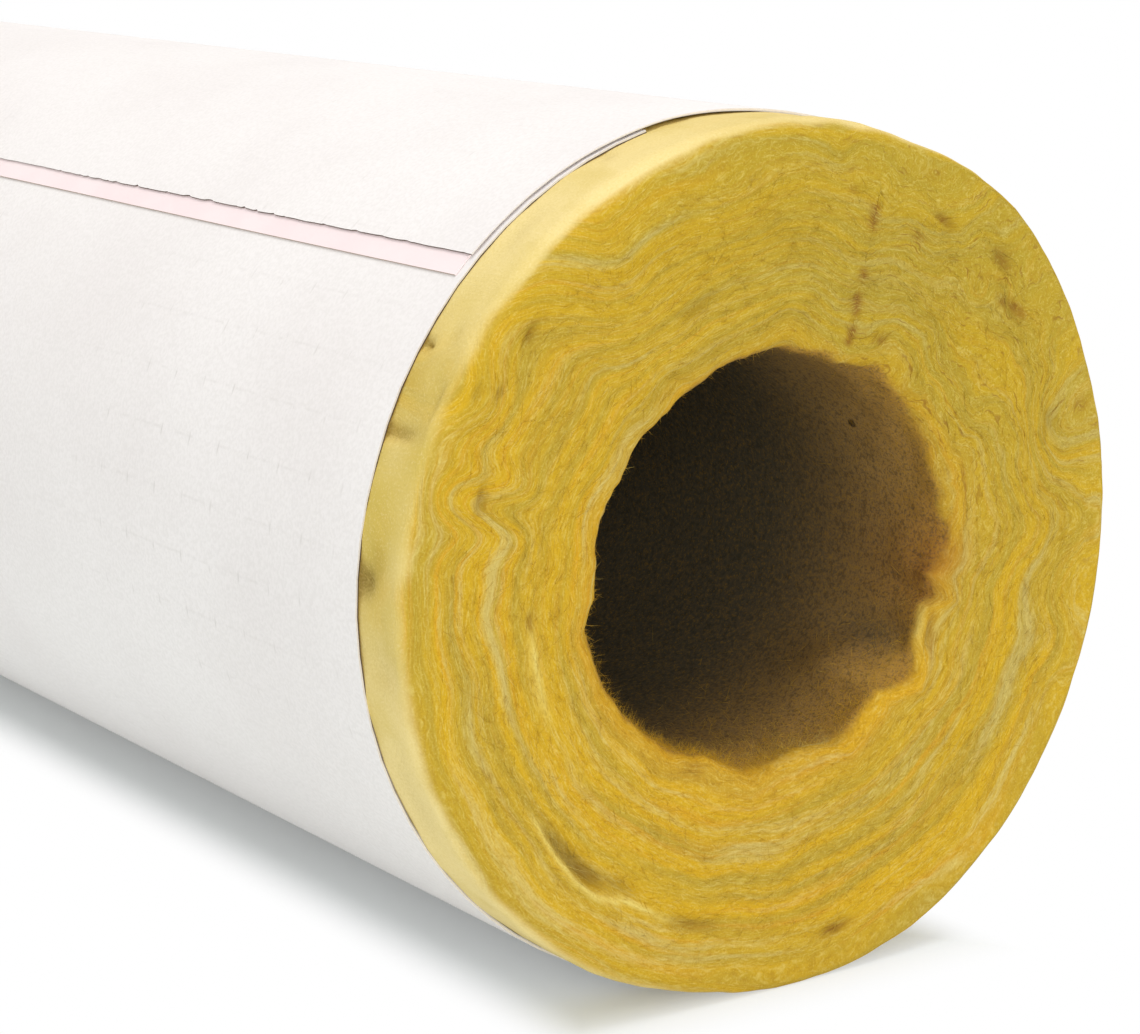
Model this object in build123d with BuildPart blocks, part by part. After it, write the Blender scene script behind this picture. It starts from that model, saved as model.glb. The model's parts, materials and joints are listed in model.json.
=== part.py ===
"""Fiberglass pipe insulation: a split tube of moulded glass wool in a white paper jacket.

The tube lies along X with its bore on the X axis and its middle at the origin.
Angles run in the YZ plane from +Y towards +Z, as seen from the +X end.
Lengths are in millimetres and angles in degrees.
"""

import os
from math import cos, degrees, radians, sin

from build123d import *

# Glass wool tube: made for a 1-1/2 inch pipe, with a 1 inch wall
tube_length = 914.4
bore_diameter = 48.8
wall_thickness = 26.4
outer_corner_radius = 2.0
bore_mouth_radius = 1.0

# Knife slit along the tube, through the wall on one side, so that it opens over a pipe
slit_angle = 72.0
slit_width = 0.6
slit_overrun = 2.0

# Paper jacket, cut back from both ends of the tube
jacket_thickness = 0.35
jacket_setback = 8.5
jacket_edge_angle = 104.5

# Lap: the jacket's other edge, carried up over its first edge and a little shorter at the ends
lap_width = 26.0
lap_rise_length = 20.0
lap_end_setback = 1.0

# Release paper and the adhesive that it covers, left showing below the lap's edge
strip_thickness = 0.25
strip_root_setback = 8.8
strip_reveal = 2.8
strip_end_setback = 1.6

# Sizes that follow from the ones above
bore_radius = bore_diameter / 2
tube_radius = bore_radius + wall_thickness
jacket_radius = tube_radius + jacket_thickness
lap_inner_radius = jacket_radius + strip_thickness
lap_radius = lap_inner_radius + jacket_thickness
lap_trim_radius = (jacket_radius + lap_inner_radius) / 2
jacket_length = tube_length - 2 * jacket_setback
strip_length = jacket_length - 2 * strip_end_setback
lap_edge_angle = jacket_edge_angle + degrees(lap_width / lap_inner_radius)
lap_rise_angle = jacket_edge_angle - degrees(lap_rise_length / tube_radius)
strip_edge_angle = lap_edge_angle + degrees(strip_reveal / jacket_radius)
strip_root_angle = jacket_edge_angle + degrees(strip_root_setback / jacket_radius)


def polar(radius, angle):
    """The point of the tube's cross-section at that radius and angle."""
    return (radius * cos(radians(angle)), radius * sin(radians(angle)))


def heading(angle):
    """The direction round the tube at that angle, the way that angles grow."""
    return (-sin(radians(angle)), cos(radians(angle)))


def jacket_face(sheet_radius, raised_radius):
    """One face of the jacket: round the tube from its first edge, up the rise and along the lap."""
    CenterArc((0, 0), sheet_radius, jacket_edge_angle, 360 + lap_rise_angle - jacket_edge_angle)
    Spline(
        polar(sheet_radius, lap_rise_angle),
        polar(raised_radius, jacket_edge_angle),
        tangents=(heading(lap_rise_angle), heading(jacket_edge_angle)),
    )
    CenterArc((0, 0), raised_radius, jacket_edge_angle, lap_edge_angle - jacket_edge_angle)


def ring_sector(inner_radius, outer_radius, start_angle, end_angle):
    """The closed outline of a stretch of ring."""
    sweep_angle = end_angle - start_angle
    CenterArc((0, 0), inner_radius, start_angle, sweep_angle)
    CenterArc((0, 0), outer_radius, start_angle, sweep_angle)
    Line(polar(inner_radius, start_angle), polar(outer_radius, start_angle))
    Line(polar(inner_radius, end_angle), polar(outer_radius, end_angle))


# Moulded glass wool, turned from its wall section and slit through one side
with BuildPart() as glass_wool_tube:
    with BuildSketch(Plane.XZ) as wall_section:
        with Locations((0, bore_radius + wall_thickness / 2)):
            Rectangle(tube_length, wall_thickness)
        corners_by_radius = wall_section.vertices().group_by(Axis.Z)
        fillet(corners_by_radius[-1], outer_corner_radius)
        fillet(corners_by_radius[0], bore_mouth_radius)
    revolve(axis=Axis.X)
    with BuildSketch(Plane.YZ) as slit_section:
        with Locations(polar(bore_radius + wall_thickness / 2, slit_angle)):
            Rectangle(wall_thickness + 2 * slit_overrun, slit_width, rotation=slit_angle)
    extrude(amount=tube_length / 2, both=True, mode=Mode.SUBTRACT)
glass_wool_tube.part.label = "glass_wool_tube"

# Jacket: one sheet wrapped round the tube, its lap trimmed a little short at both ends
with BuildPart() as jacket:
    with BuildSketch(Plane.YZ):
        with BuildLine():
            jacket_face(tube_radius, lap_inner_radius)
            jacket_face(jacket_radius, lap_radius)
            Line(polar(tube_radius, jacket_edge_angle), polar(jacket_radius, jacket_edge_angle))
            Line(polar(lap_inner_radius, lap_edge_angle), polar(lap_radius, lap_edge_angle))
        make_face()
    extrude(amount=jacket_length / 2, both=True)
    for side in (-1, 1):
        with BuildSketch(Plane.YZ.offset(side * jacket_length / 2)):
            with BuildLine():
                ring_sector(lap_trim_radius, lap_radius + jacket_thickness, jacket_edge_angle, strip_edge_angle)
            make_face()
        extrude(amount=-side * lap_end_setback, mode=Mode.SUBTRACT)
jacket.part.label = "jacket"

# Release paper between the jacket and its lap
with BuildPart() as lap_release_strip:
    with BuildSketch(Plane.YZ):
        with BuildLine():
            ring_sector(jacket_radius, lap_inner_radius, strip_root_angle, strip_edge_angle)
        make_face()
    extrude(amount=strip_length / 2, both=True)
lap_release_strip.part.label = "lap_release_strip"

os.makedirs("parts", exist_ok=True)
export_step(glass_wool_tube.part, "parts/glass_wool_tube.step")
export_step(jacket.part, "parts/jacket.step")
export_step(lap_release_strip.part, "parts/lap_release_strip.step")
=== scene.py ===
import json
from math import cos, pi, radians, sin

import bpy
import numpy as np
from mathutils import Color, Matrix, Vector


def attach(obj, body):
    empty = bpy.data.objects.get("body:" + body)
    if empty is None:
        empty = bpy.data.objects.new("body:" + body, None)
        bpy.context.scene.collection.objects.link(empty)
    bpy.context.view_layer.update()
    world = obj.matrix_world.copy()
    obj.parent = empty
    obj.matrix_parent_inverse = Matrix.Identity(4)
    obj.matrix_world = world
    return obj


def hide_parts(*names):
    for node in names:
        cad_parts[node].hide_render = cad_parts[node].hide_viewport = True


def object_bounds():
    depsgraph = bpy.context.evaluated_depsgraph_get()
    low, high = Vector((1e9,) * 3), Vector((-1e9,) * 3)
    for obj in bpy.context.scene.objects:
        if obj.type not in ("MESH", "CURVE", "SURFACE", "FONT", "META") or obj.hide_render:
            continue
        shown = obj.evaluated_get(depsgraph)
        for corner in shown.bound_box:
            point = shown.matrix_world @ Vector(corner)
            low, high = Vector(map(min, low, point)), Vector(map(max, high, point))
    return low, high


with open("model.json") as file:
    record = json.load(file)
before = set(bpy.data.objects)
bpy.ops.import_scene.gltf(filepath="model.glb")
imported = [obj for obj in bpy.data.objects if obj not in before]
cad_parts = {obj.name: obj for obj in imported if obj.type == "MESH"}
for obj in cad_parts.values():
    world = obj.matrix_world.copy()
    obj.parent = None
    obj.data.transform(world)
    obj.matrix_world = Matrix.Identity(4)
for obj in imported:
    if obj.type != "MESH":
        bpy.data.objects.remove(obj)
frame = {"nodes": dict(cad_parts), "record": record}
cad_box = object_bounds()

# Glass wool tube: layers of yellow glass fibre wound on a mandrel and cured with a binder into a stiff tube.
# The ends are sawn square, which shows the folded layers, and a knife slit goes through the wall on one side.
# The skin that lay against the mould is smooth and pale, and the bore is browned by the hot mandrel; its
# darkening deeper in is painted shade.
mm = 0.001


def node_corners(name):
    """The corners of a CAD node's mesh, in mm."""
    return np.array([vertex.co for vertex in frame["nodes"][name].data.vertices]) / mm


# Lengths are in mm. Angles are in degrees from +Y towards +Z, as seen from the near end at +X
wool_corners = node_corners("glass_wool_tube")
pipe_bore = next(mount for mount in frame["record"]["mounts"] if mount["name"] == "pipe_bore")
half_length = wool_corners[:, 0].max()
wool_radius = np.hypot(wool_corners[:, 1], wool_corners[:, 2]).max()
bore_radius = pipe_bore["dims"]["r_mm"]
rim_round = 2.6
mouth_round = 2.2
slit_angle = 71.5
slit_radius = 36.0
slit_lean = 0.16
slit_least = 0.002
slit_open = 0.008
slit_dash_high = 2.4
slit_dash_long = 30

# How the layers lie: drawn in at the slit, calm low on the end, unruly high on one side of it
slit_pull = 13.5
calm_angle = 262
unruly_angle = 42
unruly_width = 48
near_seed = 11
far_seed = 31

# Cells of the wool's mesh: round the tube, from end to end, and from the bore to the skin
round_cells = 460
mouth_cells = 5
fine_low = 40.2
fine_high = 44.6
face_bands = [
    (bore_radius + mouth_round, fine_low, 18),
    (fine_low, fine_high, 12),
    (fine_high, wool_radius - rim_round, 7),
]
rim_cells = 8
bare_depth = 10.0
bare_cells = 11
deep_cells = 14


def lumps(points, seed):
    """Smooth random values from -1 to 1 at rows of points, one lump to each unit of length."""
    values = np.random.default_rng(seed).uniform(-1, 1, 4096)
    cell = np.floor(points).astype(np.int64)
    ease = points - cell
    ease = ease**2 * (3 - 2 * ease)
    mixing = np.array([7919, 104729, 1299709])
    total = np.zeros(len(points))
    for corner in np.ndindex(2, 2, 2):
        key = (cell + corner) @ mixing
        weight = np.where(corner, ease, 1 - ease).prod(1)
        total += weight * values[(key ^ (key >> 9)) % len(values)]
    return total


def rough(points, *grains):
    """Random relief from lumps of several sizes: the height and the size of each, and its seed."""
    return sum(height * lumps(points / size, seed) for height, size, seed in grains)


def ease_in(value, start, end):
    """Rises smoothly from 0 at start to 1 at end."""
    share = np.clip((value - start) / (end - start), 0, 1)
    return share**2 * (3 - 2 * share)


def hump(value, middle, width):
    """A smooth bump of height 1 at middle, fading over about that width."""
    return np.exp(-(((value - middle) / width) ** 2))


def apart(angle, middle):
    """How far round the tube an angle lies from another, from -180 to 180."""
    return (angle - middle + 180) % 360 - 180


def sector(angle, middle, width):
    """A smooth bump of height 1 at that angle round the tube, fading over about that width."""
    return hump(apart(angle, middle), 0, width)


def folds(angle, middle, spacing, depth):
    """Waves round the tube, that far apart, with the bottom of one at middle."""
    return -depth * np.cos(2 * pi * apart(angle, middle) / spacing)


def set_round(angle, stops):
    """A value that is set at some angles round the tube and runs straight from each to the next."""
    return np.interp(angle, *np.transpose(stops), period=360)


def ring_points(along, radius, angle):
    """The points at those places along the tube, radii and angles."""
    return np.stack([along, radius * np.cos(np.radians(angle)), radius * np.sin(np.radians(angle))], 1)


def box_shell(shape):
    """The outside of a box of cells: the steps of its points, its outward quads and the axis each faces."""
    steps = np.stack(np.meshgrid(*[np.arange(cells + 1) for cells in shape], indexing="ij"), -1)
    outside = ((steps == 0) | (steps == np.array(shape))).any(-1)
    number = np.full(outside.shape, -1)
    number[outside] = np.arange(outside.sum())
    quads, axes = [], []
    for axis in range(3):
        for end in (0, -1):
            sheet = np.take(number, end, axis)
            corners = [sheet[:-1, :-1], sheet[1:, :-1], sheet[1:, 1:], sheet[:-1, 1:]]
            if (axis == 1) == (end == -1):
                corners.reverse()
            quads.append(np.stack(corners, -1).reshape(-1, 4))
            axes += [axis] * len(quads[-1])
    return steps[outside], np.concatenate(quads), np.array(axes)


def layer_of(radius, angle, seed):
    """Which wound layer a point belongs to, as the radius where that layer would lie unfolded."""
    flat = np.stack([radius * np.cos(np.radians(angle)), radius * np.sin(np.radians(angle)), 0 * radius], 1)
    from_slit = apart(angle, slit_angle)
    slit_side = np.where(from_slit > 0, ease_in(from_slit, 69, 49), hump(from_slit, 0, 34))
    drawn_in = slit_pull * slit_side * ease_in(radius, 25, 45)
    pleats = folds(angle, middle=140.5, spacing=19.5, depth=2.8) * sector(angle, 150, 11)
    pleats = pleats * ease_in(radius, 39, 47)
    tucks = folds(angle, middle=163.6, spacing=10.5, depth=2.9) * sector(angle, 163.6, 7)
    tucks = tucks * ease_in(radius, 33, 41) * ease_in(radius, 52, 44)
    whorl = 9 * sector(angle, 16, 6.5) * ease_in(radius, 37, 44)
    whorl += (1.5 * sector(angle, 350, 7) - 2.5 * sector(angle, 359, 6)) * ease_in(radius, 30, 42)
    settled = 1 - 0.6 * sector(angle, calm_angle, 62)
    unruly = 0.6 * settled + 3.0 * sector(angle, unruly_angle, unruly_width)
    wander = unruly * lumps(flat / 8.5, seed) + 0.45 * unruly * lumps(flat / 3.6, seed + 1)
    waves = 0.8 * settled * lumps(np.stack([angle / 9, radius / 9, 0 * radius], 1), seed + 2)
    return radius + drawn_in + pleats + tucks + whorl + wander + waves


def streaks(layer, points, across, along, seed):
    """Smooth random values that run along the layers: that narrow across them and that long along them."""
    return lumps(np.stack([layer / across, points[:, 1] / along, points[:, 2] / along], 1), seed)


def into_scene(name, data):
    """A new object of the scene, with that mesh, lamp or camera."""
    made = bpy.data.objects.new(name, data)
    bpy.context.scene.collection.objects.link(made)
    return made


def new_piece(name, points, quads, material, crease):
    """A piece of the object from its points in mm and its faces, smooth but for edges sharper than crease."""
    mesh = bpy.data.meshes.new(name)
    mesh.from_pydata((points * mm).tolist(), [], quads.tolist())
    mesh.shade_smooth()
    mesh.set_sharp_from_angle(angle=radians(crease))
    mesh.materials.append(material)
    return into_scene(name, mesh)


def note(piece, name, values, domain="POINT"):
    """Keeps a value or a vector for each point or face of a piece, for its material and fibres to read."""
    is_vector = np.ndim(values) == 2
    attribute = piece.data.attributes.new(name, "FLOAT_VECTOR" if is_vector else "FLOAT", domain)
    attribute.data.foreach_set("vector" if is_vector else "value", np.ravel(values).astype(np.float32))


class Wire:
    """A socket of a node tree. Arithmetic on it adds Math nodes, and node() adds any other node."""

    def __init__(self, tree, socket=None):
        self.tree = tree
        self.socket = socket

    def node(self, kind, settings=None, sockets=None, output=0):
        made = self.tree.nodes.new(kind)
        for name, value in (settings or {}).items():
            setattr(made, name, value)
        for name, value in (sockets or {}).items():
            if isinstance(value, Wire):
                self.tree.links.new(value.socket, made.inputs[name])
            else:
                made.inputs[name].default_value = value
        return Wire(self.tree, made.outputs[output] if made.outputs else None)

    def sibling(self, output):
        """Another output of the node that this socket belongs to."""
        return Wire(self.tree, self.socket.node.outputs[output])

    def math(self, operation, *others):
        return self.node("ShaderNodeMath", {"operation": operation}, dict(enumerate((self, *others))))

    def vector_math(self, operation, *others, output=0):
        operands = dict(enumerate((self, *others)))
        return self.node("ShaderNodeVectorMath", {"operation": operation}, operands, output)

    def scaled(self, factor):
        return self.node("ShaderNodeVectorMath", {"operation": "SCALE"}, {"Vector": self, "Scale": factor})

    def eased(self, start, end):
        """Rises smoothly from 0 where this value is start to 1 where it is end."""
        limits = {"Value": self, "From Min": start, "From Max": end}
        return self.node("ShaderNodeMapRange", {"interpolation_type": "SMOOTHSTEP"}, limits)

    def place(self):
        """Where a point of the piece lies, in mm."""
        return self.node("ShaderNodeTexCoord", output="Object").scaled(1 / mm)

    def noted(self, name):
        """A value that is kept on the points or faces of the piece."""
        return self.node("ShaderNodeAttribute", {"attribute_name": name}, output="Fac")

    def clouded(self, scale, detail):
        """Random values over this place, with about that many clouds to a mm."""
        return self.node("ShaderNodeTexNoise", {}, {"Vector": self, "Scale": scale, "Detail": detail})

    def coated(self, base, coats):
        """A base colour with others laid over it in turn, each with the share of it that covers."""
        mixed = base
        for colour, share in coats:
            mixed = self.node("ShaderNodeMix", {"data_type": "RGBA"}, {0: share, 6: mixed, 7: colour}, 2)
        return mixed

    def __add__(self, other):
        return self.math("ADD", other)

    def __sub__(self, other):
        return self.math("SUBTRACT", other)

    def __rsub__(self, other):
        return self.node("ShaderNodeMath", {"operation": "SUBTRACT"}, {0: other, 1: self})

    def __mul__(self, other):
        return self.math("MULTIPLY", other)

    __radd__ = __add__
    __rmul__ = __mul__


def screen_colour(red, green, blue):
    """A colour given as a screen shows it, from 0 to 255, as a shader takes it."""
    return (*Color((red / 255, green / 255, blue / 255)).from_srgb_to_scene_linear(), 1)


def new_material(name):
    """A bare material and the wire that its nodes are added with."""
    material = bpy.data.materials.new(name)
    material.use_nodes = True
    material.node_tree.nodes.clear()
    return material, Wire(material.node_tree)


def finish_material(start, colour, roughness, specular, relief, relief_depth):
    """Ends a material in a matt surface with that colour and relief, the relief's depth in mm."""
    bumps = {"Height": relief, "Strength": 1.0, "Distance": relief_depth * mm}
    normal = start.node("ShaderNodeBump", {}, bumps)
    surface = start.node(
        "ShaderNodeBsdfPrincipled",
        {},
        {"Base Color": colour, "Roughness": roughness, "Specular IOR Level": specular, "Normal": normal},
    )
    start.node("ShaderNodeOutputMaterial", {}, {"Surface": surface})


glass_wool, start = new_material("glass_wool")
place = start.place()
layer = start.noted("layer")
unruly = start.noted("unruly")
tone = start.noted("tone")
deep_shade = start.noted("deep_shade")
inner_rust = start.noted("inner_rust")
wool_clouds = place.clouded(0.12, 2.0)
wisps = place.clouded(0.7, 1.0)
fleece = place.clouded(3.8, 2.0)
bore_nap = place.clouded(1.7, 3.0)


def grain(across, along, detail, shift, stray):
    """Random values that follow the layers, with streaks that wide and that long in mm."""
    strayed = layer + wisps * (unruly * 3.0 + 1.0) * stray
    return start.node(
        "ShaderNodeTexNoise",
        {"noise_dimensions": "4D"},
        {"Vector": place, "W": strayed * (along / across) + shift, "Scale": 1 / along, "Detail": detail},
    )


broad = grain(across=1.9, along=42.0, detail=1.0, shift=0.0, stray=0.3)
narrow = grain(across=0.9, along=26.0, detail=1.0, shift=40.0, stray=0.3)
pale = grain(across=1.6, along=24.0, detail=2.0, shift=90.0, stray=0.3)
hair = grain(across=0.2, along=1.7, detail=1.0, shift=10.0, stray=0.3)
cross_hair = grain(across=0.18, along=1.2, detail=0.0, shift=60.0, stray=-0.9)
strokes = grain(across=0.5, along=2.6, detail=1.0, shift=130.0, stray=0.5)

# Colours of the sawn layers, then of the moulded skin and of the bore, which are laid over them
ochre = screen_colour(185, 155, 52)
gold = screen_colour(210, 168, 34)
amber = screen_colour(214, 154, 38)
cream = screen_colour(204, 186, 116)
upper_shade_olive = screen_colour(168, 147, 46)
light_hair = screen_colour(232, 212, 120)
shade = screen_colour(164, 124, 36)
stain_and_shade_brown = screen_colour(132, 84, 34)
hollow_shade_olive = screen_colour(118, 94, 42)
skin_cream = screen_colour(238, 216, 150)
skin_bright = screen_colour(246, 228, 172)
skin_yellow = screen_colour(206, 180, 84)
skin_dirt_and_shade = screen_colour(120, 94, 34)
bore_tan = screen_colour(176, 138, 78)
bore_shade_and_grain = screen_colour(85, 79, 63)
bore_gold = screen_colour(178, 134, 52)
bore_rust = screen_colour(152, 94, 40)
black = screen_colour(0, 0, 0)
# Painted shade: a black spot on the bore wall, the shade of a pit
pit_shade_place = (443.8, 21.2, 12.1)
pit_shade_distance = place.vector_math("DISTANCE", pit_shade_place, output="Value")
wool_tone = start.coated(ochre, [
    (gold, broad.eased(0.34, 0.66)),
    (amber, narrow.eased(0.46, 0.8) * 0.5),
    (amber, layer.eased(31.0, 25.0) * 0.35),
    (cream, (pale + cross_hair * 0.12 + hair * 0.1).eased(0.6, 0.86) * 0.66),
    # Darker and greener towards the top of the sawn end: partly its own tint, partly painted shade
    (upper_shade_olive, start.noted("upper_painted_shade") * 0.52),
    # Painted highlight on the pale lips beside the creases
    (light_hair, start.noted("lip_highlight") * 0.9),
    (shade, hair.eased(0.5, 0.24) * 0.28),
    (light_hair, (hair + tone * 0.15).eased(0.54, 0.8) * 0.28),
    (shade, cross_hair.eased(0.46, 0.22) * 0.24),
    (light_hair, cross_hair.eased(0.56, 0.8) * 0.24),
    (shade, fleece.eased(0.5, 0.2) * 0.34),
    (light_hair, fleece.eased(0.52, 0.8) * 0.28),
    (stain_and_shade_brown, strokes.eased(0.6, 0.74) * (unruly * 0.5 + 0.06)),
    # Painted shade in the hollows
    (hollow_shade_olive, start.noted("shaded_hollow") * 0.75),
    (bore_rust, inner_rust * 0.75),
    # Dark specks, and painted shade in the slit's open dashes
    (stain_and_shade_brown, start.noted("speck_and_slit_shade") * (hair.eased(0.7, 0.4) * 0.65 + 0.35)),
])
skin_tone = start.coated(skin_cream, [
    (skin_yellow, start.noted("yellowed")),
    (skin_yellow, wool_clouds.eased(0.46, 0.7) * 0.35),
    (skin_yellow, fleece.eased(0.55, 0.2) * 0.2),
    (skin_bright, fleece.eased(0.5, 0.8) * 0.3),
    # Dents darkened, partly as stain and partly as painted shade
    (skin_dirt_and_shade, start.noted("skin_stain_and_shade") * (fleece.eased(0.7, 0.3) * 0.5 + 0.5)),
])
bore_tone = start.coated(bore_tan, [
    (bore_gold, start.noted("inner_gold")),
    (bore_rust, inner_rust),
    # Painted shade: the bore darkens deeper in and in the groove beside its tongue
    (bore_shade_and_grain, deep_shade),
    # Painted shade of the pit on the bore wall
    (black, pit_shade_distance.eased(0.75, 0.45) * 0.8),
    (black, bore_nap.eased(0.5, 0.34) * 0.34),
    (bore_gold, bore_nap.eased(0.5, 0.66) * (0.34 - deep_shade * 0.18)),
    (bore_shade_and_grain, fleece.eased(0.58, 0.25) * 0.6),
    (shade, fleece.eased(0.5, 0.75) * 0.5),
])
colour = start.coated(wool_tone, [(skin_tone, start.noted("skin")), (bore_tone, start.noted("bore"))])
relief = hair * 0.6 + cross_hair * 0.5 + narrow + fleece * 0.6
finish_material(start, colour, roughness=0.9, specular=0.12, relief=relief, relief_depth=0.08)

# The wool's outline from the bore, over the mouth's edge, across the sawn end and over the rim to the skin
mouth_turn = np.linspace(0, pi / 2, mouth_cells + 1)
rim_turn = np.linspace(0, pi / 2, rim_cells + 1)
face_radii = [np.linspace(low, high, cells, endpoint=False) for low, high, cells in face_bands]
face_radii = np.concatenate(face_radii)[1:]
level = np.zeros(len(face_radii))
radius_steps = np.concatenate([
    bore_radius + mouth_round * (1 - np.cos(mouth_turn)),
    face_radii,
    wool_radius - rim_round * (1 - np.sin(rim_turn)),
])
setback_steps = np.concatenate([
    mouth_round * (1 - np.sin(mouth_turn)),
    level,
    rim_round * (1 - np.cos(rim_turn)),
])
axial_steps = np.concatenate([np.sin(mouth_turn), level + 1, np.cos(rim_turn)])
radial_steps = np.concatenate([-np.cos(mouth_turn), level, np.sin(rim_turn)])
depth_steps = np.concatenate([
    np.linspace(0, bare_depth, bare_cells + 1),
    np.geomspace(bare_depth, half_length, deep_cells + 1)[1:],
])
share_steps = 1 - depth_steps / half_length
share_steps = np.concatenate([-share_steps, share_steps[-2::-1]])

wool_shape = (round_cells, len(share_steps) - 1, len(radius_steps) - 1)
steps, wool_quads = box_shell(wool_shape)[:2]
turn_step, share_step, through_step = steps.T
radius = radius_steps[through_step]
setback = setback_steps[through_step]
at_near = share_step == wool_shape[1]
at_far = share_step == 0
at_end = at_near | at_far
end_sign = at_near * 1.0 - at_far
on_skin = through_step == wool_shape[2]
on_bore = through_step == 0
radial = np.where(at_end, radial_steps[through_step], on_skin * 1.0 - on_bore)
face_share = np.where(at_end, axial_steps[through_step], 0)
skin_share = np.clip(radial, 0, 1)
bore_share = np.clip(-radial, 0, 1)

# Place every point, with the slit closed to broken dashes
along = share_steps[share_step] * (half_length - setback)
end_depth = half_length - np.abs(along)
near_depth = half_length - along
slit_noise = lumps(np.stack([radius / slit_dash_high, along / slit_dash_long, 0 * radius], 1), 5)
slit_width = slit_least + slit_open * ease_in(slit_noise, 0.05, 0.5)
slit_turn = np.degrees(slit_width / radius)
lean_turn = slit_angle + slit_lean * (radius - slit_radius)
angle = lean_turn + slit_turn / 2 + turn_step / round_cells * (360 - slit_turn)
outward = ring_points(0 * angle, 1, angle)
points = ring_points(along, radius, angle)


def layer_at(radius, angle):
    """The layers as they lie in the half of the tube that each point is in."""
    return np.where(along > 0, layer_of(radius, angle, near_seed), layer_of(radius, angle, far_seed))


def inwards(reach):
    """1 at the ends of the tube, fading into it over that reach."""
    return np.exp(-end_depth / reach)


def spots(features):
    """Soft spots on the near end: the angle, radius, half length, half width and height of each."""
    total = 0 * angle
    for spot_angle, spot_radius, spot_length, spot_width, spot_height in features:
        along_spot = np.radians(apart(angle, spot_angle)) * radius
        total += spot_height * hump(along_spot, 0, spot_length) * hump(radius, spot_radius, spot_width)
    return total * at_near * face_share


# Relief of the sawn ends: ridges along the layers, the near end's hollows with painted shade, dark specks,
# and pale lips with a painted highlight
layer_values = layer_at(radius, angle)
ridges = 0.35 * streaks(layer_values, points, across=2.6, along=22, seed=61)
ridges = ridges + 0.16 * streaks(layer_values, points, across=1.0, along=12, seed=62)
ridges += rough(points, (0.4, 11, 63), (0.12, 2.2, 64))
ridges *= 1 - 0.7 * ease_in(radius, 44, 49)
shaded_hollow = spots([
    (222, 41.4, 3.0, 0.8, 0.8), (229, 41.8, 3.4, 0.9, 1.2), (236, 40.7, 2.6, 0.8, 0.6),
    (252.6, 42.4, 4.0, 0.9, 0.6), (281, 46.0, 2.6, 0.6, 0.8), (182.3, 34.9, 1.6, 0.6, 0.6),
    (162.7, 42.8, 1.8, 0.6, 0.8), (139.0, 45.6, 1.6, 0.6, 0.7), (149.6, 48.0, 1.2, 0.6, 0.5),
    (148.2, 45.3, 1.2, 0.5, 0.5), (112, 33.2, 2.4, 0.9, 0.5), (58.6, 44.4, 1.6, 0.6, 0.6),
    (44.7, 45.9, 2.0, 0.8, 0.6), (38, 43.5, 2.2, 0.9, 0.6), (17, 43, 1.5, 0.9, 0.5),
    (333, 26.4, 2.2, 0.4, 0.9),
])
specks = spots([
    (229.5, 41.9, 1.6, 0.5, 0.3), (252.6, 42.4, 2.6, 0.5, 0.3), (281, 46.0, 2.0, 0.4, 0.75),
    (182.3, 34.9, 1.0, 0.4, 0.5), (162.7, 42.8, 1.0, 0.4, 0.3), (139.0, 45.6, 0.9, 0.4, 0.4),
    (148.2, 45.3, 0.8, 0.4, 0.4), (58.6, 44.4, 1.2, 0.4, 0.75), (61.9, 41.1, 1.1, 0.5, 0.7),
    (44.7, 45.9, 1.6, 0.5, 0.6), (39.9, 42.8, 0.8, 0.6, 0.6), (36.4, 44.2, 1.3, 0.6, 0.7),
    (77.9, 43.4, 0.7, 0.5, 0.5), (60.3, 28.2, 1.2, 0.6, 0.7), (16.8, 47.6, 0.8, 0.5, 0.5),
    (240.0, 26.4, 1.8, 0.7, 0.5), (341, 25.4, 0.9, 0.35, 0.5), (336, 26.5, 1.6, 0.35, 0.6),
    (330, 27.3, 1.6, 0.35, 0.5),
])
# Pale lips beside the creases, raised a little and painted with a highlight
highlit_lips = spots([
    (216, 42.0, 2.0, 0.34, 0.8), (220, 42.4, 2.0, 0.34, 0.8), (224, 42.8, 2.0, 0.34, 0.9),
    (228, 43.2, 2.0, 0.34, 0.9), (232, 43.3, 1.8, 0.34, 0.9), (235.5, 42.6, 1.6, 0.34, 0.9),
    (238.5, 41.9, 1.6, 0.34, 0.9), (242, 42.0, 2.0, 0.38, 0.8), (247, 42.4, 2.4, 0.4, 0.5),
    (189, 34.9, 3.0, 0.6, 0.7), (197, 35.0, 3.0, 0.6, 0.6), (335, 25.0, 2.4, 0.6, 0.8),
])

# Relief of the skin, with dents in its bare band at the near end, and of the bore, with a tongue of wool
dents = rough(points, (0.15, 5, 71), (0.08, 2.0, 72))
skin_stain_and_shade = 0 * angle
# Each dent is pressed in and darkened, partly as stain and partly as painted shade
for dent_angle, dent_depth, dent_turn, dent_length, dent_push, dent_stain_and_shade in [
    (157.3, 8.0, 0.8, 3.2, 1.0, 0.5), (155.0, 6.0, 3.2, 3.5, 0.5, 0.12), (176.0, 9.0, 2.0, 2.0, 1.2, 0.7),
    (173.5, 6.5, 2.4, 2.0, 0.4, 0.2), (145.9, 8.8, 0.7, 1.0, 1.0, 0.7), (144.0, 5.0, 2.0, 0.8, 0.4, 0.15),
    (152.2, 2.5, 2.2, 2.0, 0.4, 0.12), (186.0, 6.0, 4.0, 3.0, 0.5, 0.12), (111.8, 8.2, 1.0, 1.0, 0.3, 0.2),
    (205.0, 6.5, 6.0, 2.5, 0.4, 0.12), (128.0, 7.0, 5.0, 1.5, 0.3, 0.08),
]:
    dent = sector(angle, dent_angle, dent_turn) * hump(near_depth, dent_depth, dent_length) * on_skin
    dents -= dent_push * dent
    skin_stain_and_shade += dent_stain_and_shade * dent
tongue = 2.0 * sector(angle, 315, 8) * hump(near_depth, 10, 6)
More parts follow.
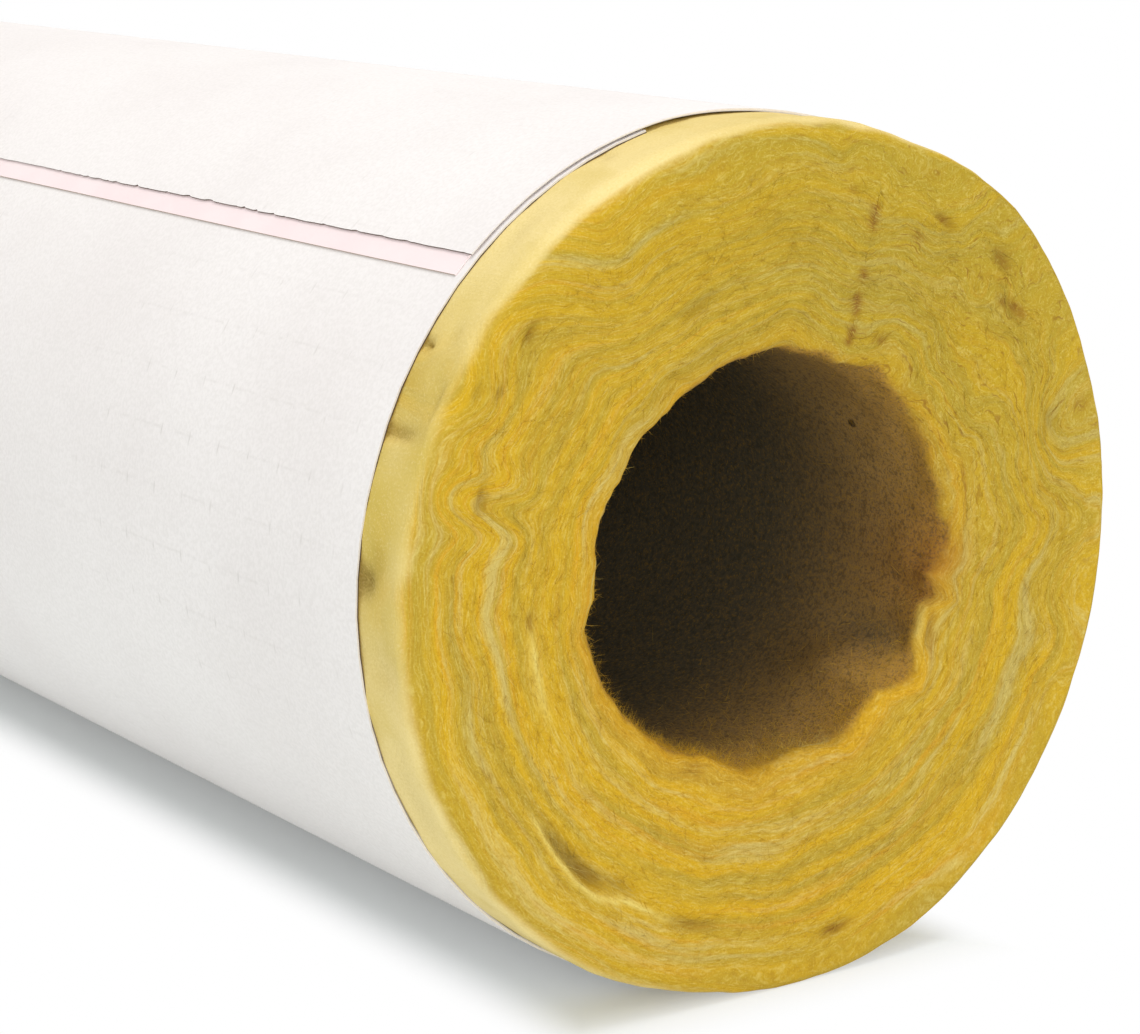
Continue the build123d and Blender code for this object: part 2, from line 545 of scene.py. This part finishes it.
tongue_side = 0.8 * sector(angle, 330, 5) * hump(near_depth, 9, 6)
swells = rough(points, (0.7, 9, 81), (0.3, 3, 82)) * inwards(30)
swells += tongue - tongue_side
push = (ridges - shaded_hollow + 0.5 * highlit_lips) * face_share + dents * skin_share + swells * bore_share

# The torn mouth of the bore, with tufts that hang in and notches that are missing: the angles seen on the
# near end, and how far the edge is drawn outwards at each
mouth_edge = [
    (0, 1.1), (18, 0.5), (32, 0.8), (44, 0.4), (58, 1.0), (69, -0.1), (90, 0.2), (135, 0.3),
    (149, 0.7), (161, 2.2), (172, 1.7), (181, 1.9), (188, 3.2), (196, 2.6), (207, 2.0), (221, 0.6),
    (231, 0.0), (244, -2.0), (252, -1.2), (261, -0.3), (272, -1.7), (280, -2.4), (294, -0.3),
    (304, -1.7), (311, -2.2), (320, 1.8), (330, -0.9), (340, -2.3), (343.5, -0.1), (349, -1.8), (353, 0.4),
]
torn = rough(ring_points(along / 2, bore_radius, angle), (0.25, 3, 91), (0.25, 1.2, 92))
torn += set_round(angle, mouth_edge) * (along > 0)
pull = torn * (hump(radius, bore_radius, 4.5) * inwards(5)) * (at_end | on_bore)
points += outward * (radial * push + pull)[:, None]
points[:, 0] += face_share * push * end_sign

# The near end's rim, which is sharper on one half, and the angles and lengths of its swelling outwards
rim_edge = [
    (0, 0.0), (27, 0.2), (36, 0.7), (48, 1.1), (57, 0.7), (68, 0.0), (262, 0.0),
    (276, 0.5), (288, 1.2), (300, 1.6), (312, 1.4), (324, 0.8), (340, 0.5), (352, 0.1),
]
sharp_angle = 345
sharpness = 0.75
swollen = set_round(angle, rim_edge) * (along > 0) * (at_near | on_skin)
swollen = swollen * ease_in(radius, 44, 49) * ease_in(end_depth, 8, 1)
on_rim = at_near & (through_step >= wool_shape[2] - rim_cells)
sharpened = sharpness * ease_in(np.abs(apart(angle, sharp_angle)), 100, 70) * on_rim
points += outward * (sharpened * (wool_radius - radius) + swollen)[:, None]
points[:, 0] += sharpened * setback

# The way the layers run at each point, found by probing them a little to all sides
probe = 0.3
least_flow = 1e-9
probe_turn = np.degrees(probe / radius)
rise_out = layer_at(radius + probe, angle) - layer_at(radius - probe, angle)
rise_round = layer_at(radius, angle + probe_turn) - layer_at(radius, angle - probe_turn)
sideways = np.stack([0 * angle, -outward[:, 2], outward[:, 1]], 1)
flow = sideways * rise_out[:, None] - outward * rise_round[:, None]
flow /= np.linalg.norm(flow, axis=1)[:, None] + least_flow

# How far each point is skin, bore, speck, painted shade or highlight, or fuzz
soft = 4 * lumps(points / 7, 95) * (1 - face_share)
skin_depth = 30
skin_edge = skin_share + 0.12 * lumps(points / 3.5, 96) + 0.3 * sector(angle, 112, 24) * skin_share
torn_skin = sector(angle, 151, 7) * (0.7 + 0.6 * lumps(points / 4, 99))
skin_left = (1 - 0.75 * sector(angle, 10, 62)) * (1 - 0.5 * torn_skin)
low_mouth = sector(angle, calm_angle, 48)
bore_edge = bore_share + (0.3 * lumps(points / 3, 97) - 0.3 * low_mouth) * inwards(3)
# Painted shade in a groove beside the bore's tongue of wool, added to the deep shade
groove_shade = 0.5 * sector(angle, 329, 6) * hump(near_depth, 8, 6)
rust_angle = 352
rusted = sector(angle, rust_angle, 15) * on_bore + sector(angle, rust_angle, 9) * ~on_bore
yellow_zones = sector(angle, 164, 24) + 0.45 * sector(angle, 256, 24) + 0.3 * sector(angle, 97, 12)
# Painted shade: dark dashes along the slit where it stands open
dash_width = 0.7
dash_fade = 0.4
off_slit = np.radians(apart(angle, lean_turn)) * radius
slit_shade_dashes = 0 * angle
for dash_radius, dash_length in [(41.0, 1.5), (34.3, 0.7), (31.0, 1.4), (27.5, 1.1)]:
    dash = ease_in(np.abs(radius - dash_radius), dash_length + dash_fade, dash_length - dash_fade)
    slit_shade_dashes += hump(off_slit, 0, dash_width) * dash * at_end * face_share
sawn = face_share * ease_in(radius, bore_radius + 1.5, bore_radius + 3) * ease_in(radius, 47.4, 44.5)
near_mouth = hump(radius, bore_radius, 1.4) * (at_end | on_bore)

wool = new_piece("glass_wool", points, wool_quads, glass_wool, crease=60)
for name, values in {
    "layer": layer_values + soft,
    "skin": ease_in(skin_edge, 0.62, 1.0) * (end_depth < skin_depth) * skin_left,
    "bore": ease_in(bore_edge, 0.7, 1.0),
    "inner_gold": inwards(5),
    "inner_rust": 0.8 * rusted * inwards(9) * hump(radius, bore_radius, 3.2),
    "shaded_hollow": np.clip(0.7 * shaded_hollow, 0, 1),
    "speck_and_slit_shade": np.clip(specks + 0.9 * slit_shade_dashes, 0, 1),
    "yellowed": yellow_zones * (0.8 + 0.3 * lumps(points / 6, 98)),
    "lip_highlight": np.clip(highlit_lips, 0, 1),
    "unruly": sector(angle, unruly_angle, unruly_width),
    # Darker towards the top of the sawn end, partly painted shade
    "upper_painted_shade": sector(angle, 65, 62) * face_share,
    "deep_shade": np.clip(ease_in(end_depth, 2, 35) + groove_shade, 0, 1),
    "skin_stain_and_shade": np.clip(skin_stain_and_shade, 0, 1),
    "flow": flow,
    "near_fuzz": at_near * sawn,
    "far_fuzz": at_far * sawn,
    "mouth_fuzz": near_mouth * inwards(2.5) * (1 - 0.6 * sector(angle, 140, 35)),
    "tuft_fuzz": near_mouth * inwards(6) * low_mouth,
}.items():
    note(wool, name, values)
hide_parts("glass_wool_tube")
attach(wool, "root")


# Loose fibres: the saw leaves hairs of glass standing and lying along the layers on both ends, and the torn
# mouth of the bore is fringed with them. They are the same glass as the wool, and bound into it at one end.
def grow_fibres(name, where, per_square_mm, length, radius, lift, stray, fibre_steps, seed):
    """Hairs that start on the wool where that value is high and follow the flow of its layers."""
    shortest, longest = 0.4, 1.5
    flattest, steepest = 0.2, 1.8
    tip_thinning = 0.7
    tree = bpy.data.node_groups.new(name, "GeometryNodeTree")
    inputs = {
        "Wool": ("NodeSocketGeometry", None),
        "Hairs per square metre": ("NodeSocketFloat", per_square_mm / mm**2),
        "Length": ("NodeSocketFloat", length * mm),
        "Radius": ("NodeSocketFloat", radius * mm),
        "Lift": ("NodeSocketFloat", lift),
        "Stray": ("NodeSocketFloat", stray),
        "Seed": ("NodeSocketInt", seed),
        "Material": ("NodeSocketMaterial", glass_wool),
    }
    keys = {}
    for label, (kind, value) in inputs.items():
        keys[label] = tree.interface.new_socket(label, in_out="INPUT", socket_type=kind).identifier
    tree.interface.new_socket("Fibres", in_out="OUTPUT", socket_type="NodeSocketGeometry")
    start = Wire(tree)
    given = start.node("NodeGroupInput", output="Wool")
    settings = {label: given.sibling(label) for label in inputs}

    def read(attribute, kind="FLOAT"):
        return start.node("GeometryNodeInputNamedAttribute", {"data_type": kind}, {"Name": attribute})

    def keep(geometry, attribute, value, kind="FLOAT"):
        sockets = {"Geometry": geometry, "Name": attribute, "Value": value}
        return start.node("GeometryNodeStoreNamedAttribute", {"data_type": kind}, sockets)

    def chance(kind, low, high, shift):
        sockets = {"Seed": settings["Seed"] + shift}
        if kind == "FLOAT_VECTOR":
            sockets.update({0: (low,) * 3, 1: (high,) * 3})
            return start.node("FunctionNodeRandomValue", {"data_type": kind}, sockets, 0)
        sockets.update({2: low, 3: high})
        return start.node("FunctionNodeRandomValue", {"data_type": kind}, sockets, 1)

    surface = settings["Wool"]
    density = read(where) * settings["Hairs per square metre"]
    roots = start.node(
        "GeometryNodeDistributePointsOnFaces",
        {"distribute_method": "RANDOM"},
        {"Mesh": surface, "Density": density, "Seed": settings["Seed"]},
    )
    step_length = chance("FLOAT", shortest, longest, 2) * settings["Length"] * (1 / fibre_steps)
    sidestep = chance("FLOAT_VECTOR", -1.0, 1.0, 4).scaled(settings["Stray"])
    hairs = keep(roots, "upright", roots.sibling("Normal"), "FLOAT_VECTOR")
    hairs = keep(hairs, "tone", chance("FLOAT", -1.0, 1.0, 1))
    hairs = keep(hairs, "step", step_length)
    hairs = keep(hairs, "way", chance("FLOAT", -1.0, 1.0, 3).math("SIGN"))
    hairs = keep(hairs, "stray", sidestep, "FLOAT_VECTOR")
    hairs = keep(hairs, "rise", chance("FLOAT", flattest, steepest, 5) * settings["Lift"])
    hairs = keep(hairs, "taper", 0.0)
    hairs = keep(hairs, "bore", 0.0)
    hairs = start.node("GeometryNodePointsToVertices", {}, {"Points": hairs})
    hairs = keep(hairs, "tip", True, "BOOLEAN")
    here = start.node("GeometryNodeInputPosition")
    for step in range(1, fibre_steps + 1):
        flow = start.node(
            "GeometryNodeSampleNearestSurface",
            {"data_type": "FLOAT_VECTOR"},
            {"Mesh": surface, "Value": read("flow", "FLOAT_VECTOR"), "Sample Position": here},
        )
        heading = flow.scaled(read("way")).vector_math("ADD", read("stray", "FLOAT_VECTOR"))
        heading = heading.vector_math("ADD", read("upright", "FLOAT_VECTOR").scaled(read("rise")))
        heading = heading.vector_math("NORMALIZE").scaled(read("step"))
        grown = start.node(
            "GeometryNodeExtrudeMesh",
            {"mode": "VERTICES"},
            {"Mesh": hairs, "Selection": read("tip", "BOOLEAN"), "Offset": heading},
        )
        reached = read("taper").math("MAXIMUM", grown.sibling("Top") * (step / fibre_steps))
        hairs = keep(grown, "taper", reached)
        hairs = keep(hairs, "tip", grown.sibling("Top"), "BOOLEAN")
    strands = start.node("GeometryNodeMeshToCurve", {}, {"Mesh": hairs})
    thickness = settings["Radius"] * (1 - read("taper") * read("taper") * tip_thinning)
    section = start.node("GeometryNodeCurvePrimitiveCircle", {}, {"Resolution": 3, "Radius": 1.0})
    parts = {"Curve": strands, "Profile Curve": section, "Scale": thickness, "Fill Caps": True}
    solid = start.node("GeometryNodeCurveToMesh", {}, parts)
    solid = start.node("GeometryNodeRealizeInstances", {}, {"Geometry": solid})
    solid = start.node("GeometryNodeSetMaterial", {}, {"Geometry": solid, "Material": settings["Material"]})
    start.node("NodeGroupOutput", {}, {"Fibres": solid})

    grower = into_scene(name + "_grower", wool.data)
    modifier = grower.modifiers.new(name, "NODES")
    modifier.node_group = tree
    for label, (kind, value) in inputs.items():
        if value is not None:
            modifier[keys[label]] = value
    evaluated = grower.evaluated_get(bpy.context.evaluated_depsgraph_get())
    mesh = bpy.data.meshes.new_from_object(evaluated)
    bpy.data.objects.remove(grower)
    fibres = into_scene(name, mesh)
    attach(fibres, "root")


sawn_hairs = {"length": 2.3, "radius": 0.022, "lift": 0.12, "stray": 0.7, "fibre_steps": 4}
mouth_hairs = {"length": 0.7, "radius": 0.014, "lift": 0.35, "stray": 1.2, "fibre_steps": 3}
tuft_hairs = {"length": 1.4, "radius": 0.013, "lift": 0.7, "stray": 1.0, "fibre_steps": 3}
grow_fibres("near_end_fibres", "near_fuzz", per_square_mm=1.5, seed=3, **sawn_hairs)
grow_fibres("far_end_fibres", "far_fuzz", per_square_mm=0.6, seed=4, **sawn_hairs)
grow_fibres("mouth_fibres", "mouth_fuzz", per_square_mm=5.0, seed=5, **mouth_hairs)
grow_fibres("tuft_fibres", "tuft_fuzz", per_square_mm=15.0, seed=6, **tuft_hairs)

# Jacket: one sheet of white kraft paper with a scrim of yarn in it, wrapped round the wool.
# Its first edge lies on the wool, and the other is carried on over it as a lap with a hand-torn edge.
sheet_reach = node_corners("jacket")[:, 0].max()
sheet_thickness = 0.35
paper_crease = 40
lap_lift = 0.25
lap_thinning = 0.15
lap_skew = 0.7
lap_drift = 0.52
drift_reach = 150.0
end_setback = 0.9
end_hold = 60

# Angles of the sheet's edges, and of the lap's rise and edge after one turn round the tube
first_edge = 104.5
lap_rise = 82.0 + 360
lap_start = first_edge + 360
lap_edge = 133.6 + 360
lap_level = lap_rise + 6
skew_end = lap_edge - 5
fray_start = lap_edge - 8

paper, start = new_material("jacket_paper")
place = start.place()
around = start.noted("around")
along_tube = start.node("ShaderNodeSeparateXYZ", {}, {"Vector": place}, "X")
clouds = place.clouded(0.035, 3.0)
tooth = place.clouded(2.2, 2.0)
wear = place.clouded(0.09, 2.0)
ticks = place.clouded(0.5, 2.0)
yarn_spacing = 6.9
yarn_around = 146.7
knot_around = 146.9
yarn_along = 408.2
rub_place = (412.0, -49.7, 12.5)


def yarn(distance, width):
    """1 on the evenly spaced yarns of the scrim, 0 between them."""
    return distance.math("PINGPONG", yarn_spacing / 2).eased(width, 0.0)


lengthwise = yarn(around - yarn_around, 0.3)
crosswise = yarn(along_tube - yarn_along, 0.25)
knots = crosswise * yarn(around - knot_around, 1.2) * ticks.eased(0.36, 0.52)
scrim = knots.math("MAXIMUM", lengthwise * ticks.eased(0.4, 0.6) * 0.3)
rubbed = place.vector_math("DISTANCE", rub_place, output="Value").eased(48.0, 14.0)
worn = (wear.eased(0.52, 0.66) * 0.6).math("MAXIMUM", rubbed)
paper_white = screen_colour(243, 238, 235)
paper_shade = screen_colour(230, 223, 220)
paper_mark = screen_colour(204, 198, 192)
# The dark brown of the cut faces is painted shade of the gap under the paper's edge
paper_cut_shade = screen_colour(84, 68, 54)
colour = start.coated(paper_white, [
    (paper_shade, clouds.eased(0.35, 0.7) * 0.35),
    (paper_mark, scrim * worn * 0.6),
    (paper_mark, tooth.eased(0.3, 0.7) * 0.2),
    (paper_cut_shade, start.noted("cut_edge_shade")),
])
relief = tooth * 0.3 + scrim * 0.3
finish_material(start, colour, roughness=0.62, specular=0.3, relief=relief, relief_depth=0.03)

# Steps of the sheet's mesh: round the tube, along it with finer ones near both ends, and through the paper
round_steps = 72
rise_steps = 16
lap_steps = 22
fine_reach = 120
fine_step = 0.45
coarse_steps = 80
far_reach = 20
far_step = 1.0
sheet_turns = np.concatenate([
    np.linspace(first_edge, lap_rise, round_steps),
    np.linspace(lap_rise, lap_start, rise_steps)[1:],
    np.linspace(lap_start, lap_edge, lap_steps)[1:],
])
sheet_depths = np.concatenate([
    np.arange(0, fine_reach, fine_step),
    np.linspace(fine_reach, 2 * sheet_reach - far_reach, coarse_steps),
    2 * sheet_reach - np.arange(0, far_reach, far_step),
])
sheet_along = np.unique(sheet_reach - sheet_depths)
ply_steps = np.array([0.0, 0.42, 1.0])
sheet_shape = (len(sheet_turns) - 1, len(sheet_along) - 1, len(ply_steps) - 1)
steps, sheet_quads, sheet_axes = box_shell(sheet_shape)
angle = sheet_turns[steps[:, 0]]
along = sheet_along[steps[:, 1]]


def drawn_back(along, reach, setback):
    """Draws the ends of a sheet back that far and leaves the rest of it in place."""
    return along - np.sign(along) * (np.abs(along) / reach) ** end_hold * setback


# The lap's edge is frayed and nicked, and it drifts along the tube
tear_length = 14
frays_per_tear = 5
nicks_per_tear = 14
lifted = ease_in(angle, lap_rise, lap_start)
lapped = ease_in(angle, lap_level, skew_end)
edge_near = ease_in(angle, fray_start, lap_edge)
near_depth = sheet_reach - along
row = np.stack([along / tear_length, 0 * along, 0 * along], 1)
fray = 0.14 * lumps(row, 21) + 0.05 * lumps(row * frays_per_tear, 22)
nick_place = 0.25 + hump(near_depth, 62, 36)
fray += nick_place * 0.32 * np.clip(lumps(row * nicks_per_tear, 23) - 0.25, 0, 1)
drift = lap_drift * ease_in(near_depth, 0, drift_reach)
angle = angle - edge_near * (np.degrees(fray / wool_radius) + drift)
end_wave = 0.12 * lumps(np.stack([angle / 9, np.sign(along) * 5, 0 * angle], 1), 24)
along = drawn_back(along, sheet_reach, lapped * lap_skew + end_wave + end_setback)
base = wool_radius + lifted * (sheet_thickness + lap_lift)
radius = base + ply_steps[steps[:, 2]] * (sheet_thickness - lifted * lap_thinning)
points = ring_points(along, radius, angle)
jacket = new_piece("paper_jacket", points, sheet_quads, paper, paper_crease)

# How dark each cut face shows, as painted shade of the gap under the paper's edge: fainter low on the ends,
# at the lap's end, in the outer ply and far along
edge_shade = 0.95
end_shade = 1.0
is_end = sheet_axes == 1
quad_turn = angle[sheet_quads].min(1)
quad_depth = near_depth[sheet_quads].min(1)
outer_ply = is_end & (steps[sheet_quads, 2].min(1) == 1)
low_fade = 1 - 0.7 * ease_in(quad_turn, 180, 230) * is_end - 0.45 * ease_in(quad_depth, 70, 130) * ~is_end
lap_fade = np.where(is_end & (quad_turn > lap_level), 0.75, 1.0)
ply_fade = np.where(outer_ply, 0.15, 1.0)
cut_shade_values = np.array([edge_shade, end_shade, 0.0])[sheet_axes]
note(jacket, "around", np.radians(angle) * wool_radius)
note(jacket, "cut_edge_shade", cut_shade_values * low_fade * lap_fade * ply_fade, "FACE")
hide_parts("jacket")
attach(jacket, "root")

# Release strip: pale pink siliconed paper over the adhesive under the lap, peeled off to seal the lap.
# It lies on the sheet below the lap, and a narrow band of it shows along the lap's edge.
strip_corners = node_corners("lap_release_strip")
strip_reach = strip_corners[:, 0].max()
strip_turns = np.degrees(np.arctan2(strip_corners[:, 2], strip_corners[:, 1]))
strip_thickness = 0.2
strip_drift = 0.72
strip_setback = 0.6
strip_round_steps = 14
strip_along_steps = 220

pink_paper, start = new_material("release_paper")
place = start.place()
clouds = place.clouded(0.12, 3.0)
tooth = place.clouded(3.0, 2.0)
pink = screen_colour(247, 230, 229)
pink_deep = screen_colour(244, 222, 222)
# Its cut edges are darker: partly the paper's own edge, partly painted shade
strip_edge_shade = screen_colour(176, 156, 138)
colour = start.coated(pink, [
    (pink_deep, clouds.eased(0.35, 0.7) * 0.6),
    (strip_edge_shade, start.noted("cut_edge_shade")),
])
finish_material(start, colour, roughness=0.5, specular=0.35, relief=tooth, relief_depth=0.02)

turn_steps = np.linspace(strip_turns.min(), strip_turns.max(), strip_round_steps)
along_steps = np.linspace(-strip_reach, strip_reach, strip_along_steps)
steps, strip_quads, strip_axes = box_shell((len(turn_steps) - 1, len(along_steps) - 1, 1))
along = along_steps[steps[:, 1]]
angle = turn_steps[steps[:, 0]] - strip_drift * ease_in(strip_reach - along, 0, drift_reach)
along = drawn_back(along, strip_reach, strip_setback)
radius = wool_radius + sheet_thickness + steps[:, 2] * strip_thickness
points = ring_points(along, radius, angle)
strip = new_piece("release_strip", points, strip_quads, pink_paper, paper_crease)
note(strip, "cut_edge_shade", strip_axes == 0, "FACE")
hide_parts("lap_release_strip")
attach(strip, "root")

# Studio: a pale floor that takes the tube's shadow close to it and is seen as white elsewhere,
# the soft light of a white room, a large lamp overhead and another in front, and the camera.
white = (1, 1, 1, 1)
floor_grey = (0.84, 0.885, 0.885, 1)
floor_half = 4000.0
least_white = 0.18
shadow_half_width = 22.5
shadow_side_end = 34.0
shadow_inset = 8.0
shadow_overrun = 9.0
room_light = 0.73


def seen_rays(start):
    """1 for rays from the camera, straight or by way of something shiny or clear."""
    ray = start.node("ShaderNodeLightPath", output="Is Camera Ray")
    shown = ray.math("MAXIMUM", ray.sibling("Is Glossy Ray"))
    return shown.math("MAXIMUM", ray.sibling("Is Transmission Ray"))


floor_low = cad_box[0].z
corner_signs = [(-1, -1), (1, -1), (1, 1), (-1, 1)]
floor_corners = [(x * floor_half * mm, y * floor_half * mm, floor_low) for x, y in corner_signs]
floor_mesh = bpy.data.meshes.new("floor")
floor_mesh.from_pydata(floor_corners, [], [(0, 1, 2, 3)])
floor = into_scene("floor", floor_mesh)

pale_floor, start = new_material("pale_floor")
lit = start.node("ShaderNodeBsdfDiffuse", {}, {"Color": floor_grey})
blank = start.node("ShaderNodeEmission", {}, {"Color": white, "Strength": 1.0})
floor_place = start.node("ShaderNodeTexCoord", output="Object")
across = start.node("ShaderNodeSeparateXYZ", {}, {"Vector": floor_place}, "Y")
beside = across.math("ABSOLUTE").eased(shadow_half_width * mm, shadow_side_end * mm)
beyond = across.sibling("X").math("ABSOLUTE")
beyond = beyond.eased((half_length - shadow_inset) * mm, (half_length + shadow_overrun) * mm)
whiteness = beside.math("MAXIMUM", beyond) * (1 - least_white) + least_white
mixed = start.node("ShaderNodeMixShader", {}, {0: seen_rays(start) * whiteness, 1: lit, 2: blank})
start.node("ShaderNodeOutputMaterial", {}, {"Surface": mixed})
floor_mesh.materials.append(pale_floor)

world = bpy.data.worlds.new("white_room")
world.use_nodes = True
world.node_tree.nodes.clear()
start = Wire(world.node_tree)
room = start.node("ShaderNodeBackground", {}, {"Color": white, "Strength": room_light})
backdrop = start.node("ShaderNodeBackground", {}, {"Color": white, "Strength": 1.0})
mixed = start.node("ShaderNodeMixShader", {}, {0: seen_rays(start), 1: room, 2: backdrop})
start.node("ShaderNodeOutputWorld", {}, {"Surface": mixed})
bpy.context.scene.world = world


def stand(placed, place, aim):
    """Puts a lamp or the camera in that place, facing that way."""
    placed.matrix_world = Matrix.Translation(place) @ aim.to_track_quat("-Z", "Y").to_matrix().to_4x4()


# Lamps and camera are placed in metres. A lamp's power follows from its share of the light at the near end
near_end = Vector((half_length * mm, 0, 0))
for lamp_name, lamp_place, lamp_size, lamp_share in [
    ("overhead_lamp", Vector((0.7, 0.0, 2.4)), 1.4, 0.40),
    ("front_lamp", Vector((2.4, -0.8, 0.5)), 1.2, 0.30),
]:
    lamp_aim = near_end - lamp_place
    lamp_data = bpy.data.lights.new(lamp_name, "AREA")
    lamp_data.shape = "DISK"
    lamp_data.size = lamp_size
    lamp_data.energy = lamp_share * pi**2 * lamp_aim.length_squared
    stand(into_scene(lamp_name, lamp_data), lamp_place, lamp_aim)

camera_place = Vector((0.72173, -0.21596, 0.08142))
camera_turn = radians(54.849)
camera_tilt = radians(12.525)
camera_data = bpy.data.cameras.new("camera")
camera_data.sensor_width = 36.0
camera_data.lens = 97.01
camera_data.clip_start = 0.01
camera = into_scene("camera", camera_data)
behind = Vector((sin(camera_turn) * cos(camera_tilt), -cos(camera_turn) * cos(camera_tilt), sin(camera_tilt)))
stand(camera, camera_place, -behind)
bpy.context.scene.camera = camera
bpy.context.scene.view_settings.view_transform = "Standard"
